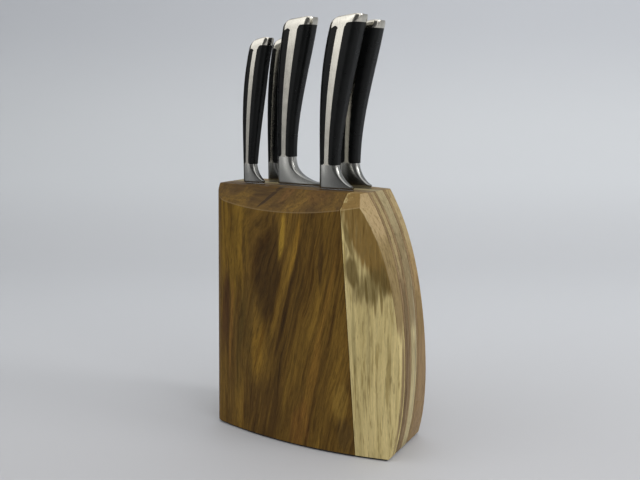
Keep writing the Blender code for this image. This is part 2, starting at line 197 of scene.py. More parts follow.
def buildSoftPatch():
    # a drawn-out patch of another colour with ragged ends
    tree, takes, gives = newGroup(
        "softPatch",
        [("Place", "vector"), ("Centre", "vector"), ("Size", "vector"), ("Tilt", "vector"),
         ("Ragged", "value"), ("Soft", "value")],
        [("Mask", "value")])
    off = vecCalc(tree, "SUBTRACT", takes["Place"], takes["Centre"])
    height = addNode(tree, "ShaderNodeSeparateXYZ", Vector=off).outputs["Z"]
    slide = addNode(tree, "ShaderNodeVectorMath", {"operation": "SCALE"})
    feed(tree, slide.inputs[0], takes["Tilt"])
    feed(tree, slide.inputs["Scale"], height)
    off = vecCalc(tree, "SUBTRACT", off, slide.outputs[0])
    away = vecCalc(tree, "LENGTH", vecCalc(tree, "DIVIDE", off, takes["Size"]))
    teeth = noise(tree, vecCalc(tree, "MULTIPLY", takes["Place"], grain["tooth"]), 1.0, 2.5, 0.6)
    teeth = calc(tree, "MULTIPLY", calc(tree, "SUBTRACT", teeth, 0.5), takes["Ragged"])
    inside = calc(tree, "ADD", calc(tree, "SUBTRACT", 1.0, away), teeth)
    feed(tree, gives["Mask"], ramp(tree, inside, 0.0, takes["Soft"]))
    return tree


polish = {"stretch": 0.03, "lineScale": 2600.0, "smudgeScale": 90.0}


def buildPolishLines():
    # fine upright polishing lines for metal, and soft smudges between them
    tree, takes, gives = newGroup(
        "polishLines",
        [("Place", "vector")],
        [("Line", "value"), ("Smudge", "value")])
    stretched = vecCalc(tree, "MULTIPLY", takes["Place"], (1.0, 1.0, polish["stretch"]))
    feed(tree, gives["Line"], noise(tree, stretched, polish["lineScale"], 2.0, 0.7))
    feed(tree, gives["Smudge"], noise(tree, takes["Place"], polish["smudgeScale"], 3.0, 0.55))
    return tree


grainFlow = buildGrainFlow()
woodGrain = buildWoodGrain()
softPatch = buildSoftPatch()
polishLines = buildPolishLines()
print("shared effects built")


# wood

mm = 0.001


def bandColours(tree, share, tones):
    stops = addNode(tree, "ShaderNodeValToRGB", Fac=share)
    elements = stops.color_ramp.elements
    last = len(tones) - 1
    for i, tone in enumerate(tones):
        element = elements[0] if i == 0 else elements[-1] if i == last else elements.new(i / last)
        element.position, element.color = i / last, (*srgb(*tone), 1.0)
    return stops.outputs[0]


def greyValue(tree, value):
    return addNode(tree, "ShaderNodeCombineXYZ", X=value, Y=value, Z=value).outputs[0]


def woodMaterial(name, look):
    made, tree, shader = newMaterial(name)
    place = addNode(tree, "ShaderNodeTexCoord").outputs["Object"]
    flow = useGroup(tree, grainFlow, Place=place, Lean=look["lean"], Wander=look["wander"])
    figure = useGroup(tree, woodGrain, Flow=flow["Flow"], Bands=look["bands"])
    colour = bandColours(tree, ramp(tree, figure["Band"], 0.32, 0.68, smooth=False), look["colours"])
    facing = addNode(tree, "ShaderNodeSeparateXYZ",
                     Vector=addNode(tree, "ShaderNodeNewGeometry").outputs["True Normal"]).outputs
    endFace = ramp(tree, facing["X"], 0.38, 0.55)
    for side, centre, size, tilt, tone, strength, ragged, soft in look["patches"]:
        mask = useGroup(
            tree, softPatch, Place=flow["Wandering"], Centre=[v * mm for v in centre],
            Size=[v * mm for v in size], Tilt=(*tilt, 0.0), Ragged=ragged, Soft=soft)["Mask"]
        if side == "end":
            mask = calc(tree, "MULTIPLY", mask, endFace)
        elif side == "face":
            mask = calc(tree, "MULTIPLY", mask, calc(tree, "SUBTRACT", 1.0, endFace))
        colour = blendColour(tree, calc(tree, "MULTIPLY", mask, strength), colour, srgb(*tone))
    dark = ramp(tree, figure["Streak"], 0.50, 0.68)
    colour = blendColour(tree, calc(tree, "MULTIPLY", dark, look["streaks"]), colour,
                         srgb(*look["streakColour"]), "MULTIPLY")
    light = ramp(tree, figure["Streak"], 0.30, 0.44, 1.0, 0.0)
    colour = blendColour(tree, calc(tree, "MULTIPLY", light, look["glow"]), colour, srgb(*look["glowColour"]))
    colour = blendColour(tree, calc(tree, "MULTIPLY", figure["Pore"], look["pores"]), colour,
                         srgb(*look["poreColour"]))
    depth = look["fibres"]
    fibre = ramp(tree, figure["Fibre"], 0.34, 0.66, 1 - depth, 1 + 0.7 * depth, smooth=False)
    shade = vecCalc(tree, "MULTIPLY", greyValue(tree, fibre), look["warmth"])
    colour = blendColour(tree, 1.0, colour, shade, "MULTIPLY")
    tone, strength = look["endTone"]                         # end grain, on what faces up
    upward = calc(tree, "MULTIPLY", ramp(tree, facing["Z"], 0.5, 0.65), strength)
    colour = blendColour(tree, upward, colour, srgb(*tone))
    # painted highlight: a paler tone on the eased edge round the slope, for the light line it catches
    tone, strength = look["edgeWear"]                        # the eased edge round the slope
    notUpright, notLevel = ramp(tree, facing["Z"], 0.10, 0.2), ramp(tree, facing["Z"], 0.5, 0.62, 1.0, 0.0)
    eased = calc(tree, "MULTIPLY", notUpright, notLevel)
    eased = calc(tree, "MULTIPLY", eased, calc(tree, "SUBTRACT", 1.0, endFace))
    colour = blendColour(tree, calc(tree, "MULTIPLY", eased, strength), colour, srgb(*tone))
    feed(tree, shader.inputs["Base Color"], colour)
    dull = calc(tree, "ADD", figure["Fibre"], calc(tree, "MULTIPLY", figure["Pore"], 0.4))
    feed(tree, shader.inputs["Roughness"], ramp(tree, dull, 0.3, 0.9, *look["roughness"], smooth=False))
    height = calc(tree, "SUBTRACT", calc(tree, "MULTIPLY", figure["Fibre"], 0.35), figure["Pore"])
    bump = addNode(tree, "ShaderNodeBump", Strength=look["relief"], Distance=0.0002, Height=height)
    feed(tree, shader.inputs["Normal"], bump.outputs[0])
    shader.inputs["Specular IOR Level"].default_value = 0.11
    return made


darkBoard = {
    "lean": 0.22, "wander": 0.011, "bands": 60.0,
    "colours": [(60, 44, 21), (80, 60, 28), (90, 69, 32), (110, 86, 40)],
    "streaks": 0.6, "streakColour": (160, 140, 112), "glow": 0.34, "glowColour": (118, 92, 44),
    "pores": 0.30, "poreColour": (46, 32, 16), "roughness": (0.45, 0.62), "relief": 0.25,
    "fibres": 0.42, "warmth": (1.34, 1.26, 0.86),
    "endTone": ((84, 66, 44), 0.35), "edgeWear": ((126, 106, 76), 0.6),
    # each patch: side, centre and half size in mm, tilt, tone, strength, raggedness, softness
    "patches": [
        ("all", (-46, -30, 180), (24, 60, 70), (0.0, 0), (112, 88, 34), 0.7, 0.9, 0.55),
        ("all", (-26, -30, 95), (26, 60, 60), (0.0, 0), (86, 68, 34), 0.5, 0.9, 0.55),
        ("all", (-6, -30, 152), (19, 60, 62), (0.05, 0), (56, 40, 19), 0.88, 0.8, 0.55),
        ("all", (-58, -30, 110), (6, 60, 50), (0.06, 0), (64, 42, 25), 0.8, 0.9, 0.55),
        ("all", (-52, -30, 95), (2.5, 60, 60), (0.06, 0), (112, 82, 42), 0.6, 0.9, 0.55),
        ("all", (-19, -30, 80), (12, 60, 38), (0.06, 0), (114, 88, 37), 0.8, 0.9, 0.8),
        ("all", (-12, -30, 22), (28, 60, 44), (0.1, 0), (64, 46, 23), 0.75, 0.9, 0.55),
        ("all", (8, -30, 186), (3.0, 60, 26), (0.12, 0), (138, 112, 50), 0.9, 0.6, 0.5),
        ("all", (20, -30, 176), (3.4, 60, 34), (0.25, 0), (130, 102, 46), 0.85, 0.6, 0.5),
        ("all", (7, -30, 139), (5, 60, 66), (0.26, 0), (108, 84, 39), 0.75, 0.7, 0.55),
        ("all", (14, -30, 130), (3.4, 60, 75), (0.24, 0), (54, 38, 19), 0.8, 0.7, 0.55),
        ("all", (48, -30, 120), (3.6, 60, 66), (0.22, 0), (110, 83, 40), 0.65, 0.7, 0.55),
        ("all", (45, -30, 168), (3, 60, 34), (0.05, 0), (58, 42, 22), 0.8, 0.7, 0.55),
        ("all", (38, -30, 60), (6, 60, 52), (0.2, 0), (108, 80, 38), 0.6, 0.7, 0.55),
        ("all", (66, -30, 48), (8, 60, 22), (0.0, 0), (114, 92, 48), 0.7, 0.9, 0.55),
        ("all", (69, -30, 18), (9, 60, 20), (0.0, 0), (72, 56, 33), 0.7, 0.8, 0.55),
        ("all", (25, -30, 18), (12, 60, 32), (0.2, 0), (96, 64, 34), 0.5, 0.9, 0.55),
        ("all", (-40, -30, 88), (4, 60, 72), (0.1, 0), (62, 50, 23), 0.6, 0.8, 0.55),
        ("all", (-33, -30, 165), (3.5, 60, 42), (0.03, 0), (68, 50, 22), 0.6, 0.8, 0.55),
        ("all", (-10, -25, 219), (2.6, 60, 12), (0.78, 0), (32, 22, 15), 0.97, 0.4, 0.3),
        ("all", (-50, -25, 222), (9, 60, 8), (0.3, 0), (66, 48, 26), 0.7, 0.8, 0.5),
        ("all", (36, -25, 221), (14, 60, 7), (0.3, 0), (92, 66, 36), 0.6, 0.8, 0.5),
        ("all", (5, -25, 221), (6, 60, 9), (0.6, 0), (104, 76, 44), 0.6, 0.8, 0.55),
    ],
}

paleBoard = {
    "lean": -0.03, "wander": 0.008, "bands": 85.0,
    "colours": [(156, 142, 98), (172, 158, 112), (180, 166, 120), (186, 172, 126)],
    "streaks": 0.7, "streakColour": (182, 174, 150), "glow": 0.1, "glowColour": (196, 182, 134),
    "pores": 0.42, "poreColour": (104, 90, 56), "roughness": (0.48, 0.64), "relief": 0.22,
    "fibres": 0.24, "warmth": (1.21, 1.17, 1.09),
    "endTone": ((128, 102, 62), 0.35), "edgeWear": ((170, 148, 104), 0.5),
    "patches": [
        ("face", (101, -28, 206), (38, 60, 72), (-0.28, 0), (112, 89, 46), 0.96, 0.6, 0.18),
        ("face", (66.5, -28, 176), (3.0, 60, 32), (-0.05, 0), (184, 168, 116), 0.9, 0.5, 0.5),
        ("face", (90, -28, 151), (19, 60, 17), (0.2, 0), (92, 79, 45), 0.72, 2.4, 0.6),
        ("face", (73.5, -28, 162), (6.5, 60, 16), (-0.1, 0), (90, 75, 39), 0.85, 0.9, 0.4),
        ("face", (71, -28, 188), (2.8, 60, 24), (-0.28, 0), (102, 86, 48), 0.8, 0.9, 0.55),
        ("face", (92, -28, 138), (1.0, 60, 16), (-0.05, 0), (92, 78, 42), 0.8, 0.8, 0.5),
        ("face", (97, -28, 141), (1.4, 60, 18), (-0.05, 0), (100, 84, 46), 0.8, 0.8, 0.5),
        ("face", (85, -28, 146), (1.2, 60, 16), (-0.05, 0), (90, 76, 40), 0.8, 0.8, 0.5),
        ("face", (93, -28, 196), (1.6, 60, 24), (-0.20, 0), (150, 126, 78), 0.5, 0.8, 0.6),
        ("face", (76, -28, 100), (2.0, 60, 42), (-0.05, 0), (132, 122, 84), 0.6, 1.2, 0.55),
        ("face", (88, -28, 90), (2.2, 60, 62), (-0.02, 0), (146, 134, 96), 0.5, 1.2, 0.55),
        ("face", (81, -28, 25), (3.0, 60, 40), (-0.03, 0), (136, 124, 84), 0.5, 1.2, 0.55),
        ("end", (100, -15, 160), (60, 30, 60), (0.0, 0), (122, 105, 72), 0.97, 0.4, 0.3),
        ("end", (100, -15, 216), (60, 30, 34), (0.0, 0), (150, 132, 100), 0.95, 0.4, 0.4),
        ("end", (112, -11, 55), (40, 3.6, 75), (0.0, 0.02), (104, 86, 62), 0.85, 0.6, 0.55),
    ],
}

boardLooks = {
    "front_board_dark": ("walnutFront", darkBoard),
    "front_board_pale": ("sapwoodFront", paleBoard),
}


def layerLook(colours, streakColour, bands, patches):
    # the plainer boards and strips behind the front ones
    return {
        "lean": 0.0, "wander": 0.006, "bands": bands, "colours": colours,
        "streaks": 0.5, "streakColour": streakColour, "glow": 0.25, "glowColour": colours[-1],
        "pores": 0.25, "poreColour": tuple(int(c * 0.6) for c in colours[0]),
        "roughness": (0.46, 0.62), "relief": 0.22, "fibres": 0.2, "warmth": (1.03, 1.03, 1.0),
        "endTone": (tuple(int(c * 0.75) for c in colours[1]), 0.5), "edgeWear": (colours[-1], 0.4),
        "patches": patches,
    }


brownLayer = layerLook([(108, 90, 66), (124, 104, 76), (134, 114, 84)], (170, 155, 135), 120.0, [
    ("all", (104, -1, 200), (60, 20, 52), (0, 0), (154, 136, 98), 0.9, 0.5, 0.5),
    ("all", (110, 0, 128), (60, 12, 26), (0, 0.03), (108, 90, 62), 0.8, 0.5, 0.5),
    ("all", (110, -4, 62), (60, 4, 60), (0, 0.03), (104, 84, 60), 0.7, 0.6, 0.5)])
creamLayer = layerLook([(160, 146, 110), (174, 160, 122), (182, 168, 130)], (184, 176, 156), 110.0, [
    ("all", (100, 10, 165), (60, 30, 62), (0, 0), (128, 112, 82), 0.95, 0.5, 0.35),
    ("all", (100, 10, 215), (60, 30, 30), (0, 0), (148, 134, 102), 0.9, 0.5, 0.5),
    ("all", (105, 13, 90), (60, 2, 80), (0, 0.02), (150, 138, 112), 0.7, 0.5, 0.55)])
tanLayer = layerLook([(134, 112, 74), (148, 124, 86), (158, 136, 94)], (176, 160, 138), 110.0, [
    ("all", (100, 30, 60), (60, 20, 85), (0, -0.05), (136, 112, 82), 0.85, 0.5, 0.5),
    ("all", (100, 22, 118), (60, 12, 30), (0, 0), (124, 102, 66), 0.7, 0.6, 0.5),
    ("all", (100, 22, 205), (60, 12, 40), (0, 0), (156, 138, 102), 0.9, 0.5, 0.5)])
spacerLayer = layerLook([(116, 96, 68), (130, 108, 78), (142, 120, 88)], (170, 155, 135), 120.0, [
    ("all", (105, -5, 60), (60, 4, 90), (0, 0), (104, 84, 60), 0.7, 0.5, 0.55)])
boardLooks.update({
    "inner_board_front": ("laminateBrown", brownLayer),
    "inner_board_back": ("laminateCream", creamLayer),
    "back_board": ("laminateTan", tanLayer),
})
for name in nodes:
    if "_spacer_" in name:
        boardLooks[name] = ("laminateSpacer", spacerLayer)

boardEdge = {"seam": 0.00002, "ease": 0.0005, "steps": 2, "sharperThan": 25}


def wearMaterial(thing, material):
    thing.data.materials.clear()
    thing.data.materials.append(material)


def easeEdges(board):
    weldSeams = board.modifiers.new("weldSeams", "WELD")
    weldSeams.merge_threshold = boardEdge["seam"]
    easedEdge = board.modifiers.new("easedEdge", "BEVEL")
    easedEdge.width, easedEdge.segments = boardEdge["ease"], boardEdge["steps"]
    easedEdge.limit_method, easedEdge.angle_limit = "ANGLE", math.radians(boardEdge["sharperThan"])
    easedEdge.use_clamp_overlap, easedEdge.harden_normals = False, True


woods = {}
for name, (label, look) in boardLooks.items():
    if label not in woods:
        woods[label] = woodMaterial(label, look)
    wearMaterial(nodes[name], woods[label])
    easeEdges(nodes[name])
print("boards dressed")


# metal, black inserts and rubber

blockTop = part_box("back_board")[1].z
steels = {
    "polishedSteel": {"tint": (205, 201, 190), "rough": (0.15, 0.22), "relief": 0.05},
    # painted light: a little paler with height and darker down by the wood, for how the bolster catches the
    # light
    "satinSteel": {"tint": (143, 143, 139), "rough": (0.17, 0.25), "relief": 0.06,
                   "rise": (blockTop + 0.006, blockTop + 0.025), "riseTint": (186, 185, 180)},
    "bladeSteel": {"tint": (205, 205, 206), "rough": (0.21, 0.26), "relief": 0.08},
}
metalGrain = {"darkShare": 0.93, "reliefDepth": 0.00005}


def steelMaterial(name):
    look = steels[name]
    made, tree, shader = newMaterial(name)
    place = addNode(tree, "ShaderNodeTexCoord").outputs["Object"]
    marks = useGroup(tree, polishLines, Place=place)
    lines, smudges = (calc(tree, "MULTIPLY", marks[key], 0.5) for key in ("Line", "Smudge"))
    wear = calc(tree, "ADD", lines, smudges)
    darker = srgb(*[int(part * metalGrain["darkShare"]) for part in look["tint"]])
    colour = blendColour(tree, ramp(tree, wear, 0.35, 0.65), darker, srgb(*look["tint"]))
    # painted light: the bolster's tint turns paler with height
    if "rise" in look:
        height = addNode(tree, "ShaderNodeSeparateXYZ", Vector=place).outputs["Z"]
        colour = blendColour(tree, ramp(tree, height, *look["rise"]), colour, srgb(*look["riseTint"]))
    feed(tree, shader.inputs["Base Color"], colour)
    feed(tree, shader.inputs["Roughness"], ramp(tree, wear, 0.3, 0.7, *look["rough"]))
    shader.inputs["Metallic"].default_value = 1.0
    bump = addNode(tree, "ShaderNodeBump", Strength=look["relief"], Distance=metalGrain["reliefDepth"],
                   Height=marks["Line"])
    feed(tree, shader.inputs["Normal"], bump.outputs[0])
    return made


def insertMaterial():
    made, tree, shader = newMaterial("blackInsert")
    place = addNode(tree, "ShaderNodeTexCoord").outputs["Object"]
    mottle = noise(tree, place, 140.0, 3.0, 0.6)
    grainy = noise(tree, place, 2600.0, 2.0, 0.6)
    colour = blendColour(tree, mottle, (0.0025, 0.0028, 0.0028), (0.006, 0.0065, 0.0065))
    feed(tree, shader.inputs["Base Color"], colour)
    feed(tree, shader.inputs["Roughness"], ramp(tree, mottle, 0.3, 0.7, 0.26, 0.36))
    shader.inputs["Specular IOR Level"].default_value = 0.16
    bump = addNode(tree, "ShaderNodeBump", Strength=0.05, Distance=0.00005, Height=grainy)
    feed(tree, shader.inputs["Normal"], bump.outputs[0])
    return made


def rubberMaterial():
    made, tree, shader = newMaterial("padRubber")
    place = addNode(tree, "ShaderNodeTexCoord").outputs["Object"]
    specks = noise(tree, place, 1800.0, 2.0, 0.7)
    colour = blendColour(tree, specks, (0.010, 0.010, 0.010), (0.03, 0.03, 0.028))
    feed(tree, shader.inputs["Base Color"], colour)
    feed(tree, shader.inputs["Roughness"], ramp(tree, specks, 0.3, 0.7, 0.7, 0.9))
    bump = addNode(tree, "ShaderNodeBump", Strength=0.3, Distance=0.0001, Height=specks)
    feed(tree, shader.inputs["Normal"], bump.outputs[0])
    return made


polished, satin, bladeSteel = (steelMaterial(name) for name in steels)
black = insertMaterial()
finishes = {"_handle_frame": polished, "_bolster": satin, "_blade": bladeSteel, "_insert": black,
            "base_pad": rubberMaterial()}
for name, thing in nodes.items():
    for ending, finish in finishes.items():
        if name.endswith(ending):
            wearMaterial(thing, finish)
print("metal, inserts and pad dressed")


# knives: each is modelled upright with its blade's back at x = 0 and the block's top at z = 0

handleShape = {
    "capDepth": 0.0069, "capDrop": 0.0014, "insertCorner": 0.0032, "footCorner": 0.0022,
    "buttRound": 0.0072, "dome": 0.0030, "domeApex": 0.72, "rounding": 0.36, "seam": 0.00009,
    "spineFall": 0.40, "bellyRise": 0.0012,
    # how far the butt's rounding pulls in the back, the belly and the sides
    "pullBack": 0.8, "pullBelly": 0.12, "pullSide": 0.22,
    "leanFrom": 0.03,                  # the height where the handle starts to curve
    # how far the cutters for the openings run past the handle, at its edges, foot and sides
    "pastEdge": 0.012, "pastFoot": 0.004, "cutDepth": 0.08,
}
bolsterShape = {
    "hover": 0.0010, "toeHeight": 0.0022, "toeThick": 0.0034, "taperStart": 0.0080,
    "rounding": 0.20, "backRounding": 0.34, "footRound": 0.0010, "overlap": 0.0003,
    "joint": 0.00006, "rows": 36, "crowding": 1.5, "hollow": 0.75,
}
bladeShape = {
    "thick": 0.0022, "edgeThick": 0.0004, "joint": 0.00006, "scallop": 0.0085, "scallopDepth": 0.0011,
    "backCurve": 0.10, "pointPower": 2.2, "leastWidth": 0.0012, "grindShare": 0.42, "hone": 0.0012,
    "backEase": 0.0003, "plainHeel": 0.012, "plainPoint": 0.006,
}

# width and thickness grow from the first value to the second over the swell, a stretch of the handle
knives = {
    "utility": {
        "tip": 0.030, "flare": 1.8, "handle": 0.1280, "width": (0.0105, 0.0203), "thick": (0.0100, 0.0135),
        "swell": (-0.24, 0.71), "lean": 0.0110, "bend": 2.77, "band": (0.37, 0.575),
    },
    "paring": {
        "tip": 0.026, "flare": 1.8, "handle": 0.1288, "width": (0.0105, 0.0203), "thick": (0.0100, 0.0135),
        "swell": (-0.24, 0.71), "lean": 0.0080, "bend": 2.77, "band": (0.37, 0.575),
    },
    "chef": {
        "tip": 0.085, "flare": 2.6, "handle": 0.1443, "width": (0.0166, 0.0298), "thick": (0.0120, 0.0170),
        "swell": (0.0, 0.95), "lean": 0.0088, "bend": 2.99, "band": (0.36, 0.615),
    },
    "carving": {
        "tip": 0.060, "flare": 1.75, "handle": 0.1440, "width": (0.0170, 0.0297), "thick": (0.0120, 0.0175),
        "swell": (-0.085, 0.865), "lean": 0.0125, "bend": 2.77, "band": (0.37, 0.590),
    },
    "bread": {
        "tip": 0.035, "flare": 1.8, "handle": 0.1403, "width": (0.0172, 0.0280), "thick": (0.0120, 0.0170),
        "swell": (-0.03, 0.92), "lean": 0.0116, "bend": 2.37, "band": (0.37, 0.590), "serrated": True,
    },
}


def readPlace(name, knife):
    # where the knife hangs and how big its blade and bolster are, from the frame
    low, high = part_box(name + "_blade")
    knife["place"] = Vector((low.x, (low.y + high.y) / 2, blockTop))
    knife["blade"] = high.x - low.x
    knife["length"] = knife["place"].z - low.z + bolsterShape["hover"]
    knife["bolster"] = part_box(name + "_bolster")[1].z - knife["place"].z + bolsterShape["overlap"]


def smoothStep(t):
    t = min(max(t, 0.0), 1.0)
    return t * t * (3 - 2 * t)


def mixed(ends, share):
    return ends[0] + (ends[1] - ends[0]) * share


def along(knife, h):
    # 0 where the handle meets the bolster, 1 at its butt
    return (h - knife["bolster"]) / (knife["handle"] - knife["bolster"])


def swollen(knife, h):
    start, end = knife["swell"]
    return smoothStep((along(knife, h) - start) / (end - start))


def across(knife, h, share):
    # x at a share of the handle's width, 0 at its back and 1 at its belly
    start = handleShape["leanFrom"]
    back = knife["lean"] * max(0.0, (h - start) / (knife["handle"] - start)) ** knife["bend"]
    return back + mixed(knife["width"], swollen(knife, h)) * share


def crownDrop(knife, h, share):
    # the domed butt is highest past its middle, towards the belly
    fade = smoothStep(along(knife, h)) ** 3
    return 2 * handleShape["dome"] * (share - handleShape["domeApex"]) ** 2 * fade


def roundedRing(low, high, half, front, back=None, sides=9):
    # front and back are the corner radii at the belly and at the spine
    points = []
    for x, y, start in ((high, -half, -90), (high, half, 0), (low, half, 90), (low, -half, 180)):
        radius = front if back is None or x == high else back
        middle = (x - math.copysign(radius, x - (low + high) / 2), y - math.copysign(radius, y))
        for i in range(sides + 1):
            angle = math.radians(start + 90 * i / sides)
            points.append((middle[0] + radius * math.cos(angle), middle[1] + radius * math.sin(angle)))
    return points


def loftMesh(name, rings):
    shape = bmesh.new()
    layers = [[shape.verts.new(point) for point in ring] for ring in rings]
    for lower, upper in zip(layers, layers[1:]):
        for i in range(len(lower)):
            j = (i + 1) % len(lower)
            shape.faces.new((lower[i], lower[j], upper[j], upper[i]))
    shape.faces.new(list(reversed(layers[0])))
    shape.faces.new(layers[-1])
    bmesh.ops.recalc_face_normals(shape, faces=shape.faces)
    mesh = bpy.data.meshes.new(name)
    shape.to_mesh(mesh)
    shape.free()
    return mesh


def slabMesh(name, outline, depth):
    # an outline in x and z, drawn out to both sides of y = 0
    return loftMesh(name, [[(x, y, z) for x, z in outline] for y in (-depth / 2, depth / 2)])


def carve(mesh, cutter, operation):
    # one exact Boolean between two meshes
    base = bpy.data.objects.new("base", mesh)
    tool = bpy.data.objects.new("tool", cutter)
    for thing in (base, tool):
        bpy.context.scene.collection.objects.link(thing)
    cut = base.modifiers.new("cut", "BOOLEAN")
    cut.operation, cut.solver, cut.object = operation, "EXACT", tool
    made = bpy.data.meshes.new_from_object(base.evaluated_get(bpy.context.evaluated_depsgraph_get()))
    for thing in (base, tool):
        bpy.data.objects.remove(thing)
    return made


def handleMesh(knife, steps=44):
    # the whole handle as one closed form
    bottom, top, roundOff = knife["bolster"], knife["handle"], handleShape["buttRound"]
    shoulder = top - roundOff
    heights = [bottom + (shoulder - bottom) * i / steps for i in range(steps + 1)]
    for a in (9, 18, 27, 36, 45, 53, 60, 67, 73, 78, 82):
        heights.append(shoulder + roundOff * math.sin(math.radians(a)))
    rings = []
    for h in heights:
        up = max(0.0, (h - shoulder) / roundOff)
        pull = roundOff * (1 - math.sqrt(1 - up * up))
        low = across(knife, h, 0.0) + handleShape["pullBack"] * pull
        high = across(knife, h, 1.0) - handleShape["pullBelly"] * pull
        thick = mixed(knife["thick"], swollen(knife, h))
        radius = handleShape["rounding"] * thick * (1 - 0.25 * up)
        ring = []
        for x, y in roundedRing(low, high, thick / 2 - handleShape["pullSide"] * pull, radius):
            ring.append((x, y, h - crownDrop(knife, h, (x - low) / (high - low))))
        rings.append(ring)
    return loftMesh("handle", rings)


def insertOutline(knife, low, high, top, shrink):
    # the opening in the steel for one black insert; a share of None runs out past the handle
    corner, foot, reach = handleShape["insertCorner"], handleShape["footCorner"], handleShape["pastEdge"]
    crown, bottom, steps, headSteps = top - shrink, knife["bolster"], 40, 12
    below = bottom - handleShape["pastFoot"]
    level = [bottom + foot + (crown - corner - bottom - foot) * i / steps for i in range(steps + 1)]
    turns = [math.radians(a) for a in range(10, 91, 10)]

    def left(h):
        return across(knife, h, 0.0) - reach if low is None else across(knife, h, low) + shrink

    def right(h):
        return across(knife, h, 1.0) + reach if high is None else across(knife, h, high) - shrink

    def footTurn(edge, way):
        # rounded inner corner where the band spreads into the bolster
        points = [(edge(bottom) + way * foot, below), (edge(bottom) + way * foot, bottom + shrink)]
        for a in turns[:-1]:
            points.append((edge(bottom) + way * foot * (1 - math.sin(a)),
                           bottom + foot * (1 - math.cos(a)) + shrink * math.cos(a)))
        return points

    outline = []
    if high is None:
        outline.append((right(bottom), below))
    else:
        outline += footTurn(right, -1)
    outline += [(right(h), h) for h in level]
    if high is None:
        outline.append((right(crown), crown + handleShape["bellyRise"]))
    else:
        outline += [(right(crown) - corner * (1 - math.cos(a)), crown - corner * (1 - math.sin(a)))
                    for a in turns]
    start = outline[-1][0]
    end = left(crown) + (corner if low is not None else 0.0)
    if low is None:
        # the spine insert's head falls away towards the back, the belly insert's rises towards the belly
        fall = handleShape["spineFall"] * (start - end)
        outline += [(start + (end - start) * i / headSteps, crown - fall * i / headSteps)
                    for i in range(1, headSteps + 1)]
    else:
        rise = handleShape["bellyRise"]
        outline += [(start + (end - start) * i / headSteps, crown + rise * (1 - i / headSteps))
                    for i in range(1, headSteps)]
        outline += [(left(crown) + corner * (1 - math.cos(a)), crown - corner * (1 - math.sin(a)))
                    for a in reversed(turns)]
    outline += [(left(h), h) for h in reversed(level)]
    if low is None:
        outline.append((left(bottom), below))
    else:
        outline += reversed(footTurn(left, 1))

    def drop(x, h):
        share = (x - across(knife, h, 0.0)) / (across(knife, h, 1.0) - across(knife, h, 0.0))
        return crownDrop(knife, h, min(max(share, 0.0), 1.0))

    return [(x, h - drop(x, h)) for x, h in outline]


def handlePieces(knife):
    # the steel with its two openings, and the black inserts that fill them
    wideTop = knife["handle"] - handleShape["capDepth"]
    bandStart, bandEnd = knife["band"]
    openings = {
        "spineInsert": (None, bandStart, wideTop - handleShape["capDrop"]),
        "bellyInsert": (bandEnd, None, wideTop),
    }
    form = handleMesh(knife)
    steel = form.copy()
    pieces = {}
    for label, (low, high, top) in openings.items():
        cutter = slabMesh("opening", insertOutline(knife, low, high, top, 0.0), handleShape["cutDepth"])
        steel = carve(steel, cutter, "DIFFERENCE")
        narrower = insertOutline(knife, low, high, top, handleShape["seam"])
        core = slabMesh("opening", narrower, handleShape["cutDepth"])
        pieces[label] = carve(form.copy(), core, "INTERSECT")
    pieces["handleFrame"] = steel
    return pieces


def bolsterMesh(knife):
    # flat sides that thin towards the toe, under a hollow flare from the handle to the heel
    hover, toe = bolsterShape["hover"], bolsterShape["hover"] + bolsterShape["toeHeight"]
    top, width = knife["bolster"] - bolsterShape["joint"], knife["blade"]
    neck, half = across(knife, top, 1.0), knife["thick"][0] / 2
    foot = bolsterShape["footRound"]
    levels = []
    for a in (20, 40, 60, 80):
        tuck = foot * (1 - math.sin(math.radians(a)))
        levels.append((hover + foot * (1 - math.cos(math.radians(a))), width - tuck, tuck))
    for i in range(bolsterShape["rows"] + 1):
        u = (i / bolsterShape["rows"]) ** bolsterShape["crowding"]
        flared = (1 - u ** bolsterShape["hollow"]) ** knife["flare"]
        levels.append((toe + (top - toe) * u, neck + (width - neck) * flared, 0.0))
    slope = (1 - bolsterShape["toeThick"] / 2 / half) / (width - bolsterShape["taperStart"])
    rings = []
    for h, reach, tuck in levels:
        share = smoothStep((h - toe) / (top - toe))
        radius = mixed((bolsterShape["rounding"], handleShape["rounding"]), share) * 2 * half
        ring = []
        for x, y in roundedRing(tuck, reach, half, radius, bolsterShape["backRounding"] * 2 * half):
            thinned = abs(y) * (1 - slope * max(0.0, x - bolsterShape["taperStart"]))
            ring.append((x, math.copysign(max(thinned - tuck, 0.2 * thinned), y), h))
        rings.append(ring)
    return loftMesh("bolster", rings)


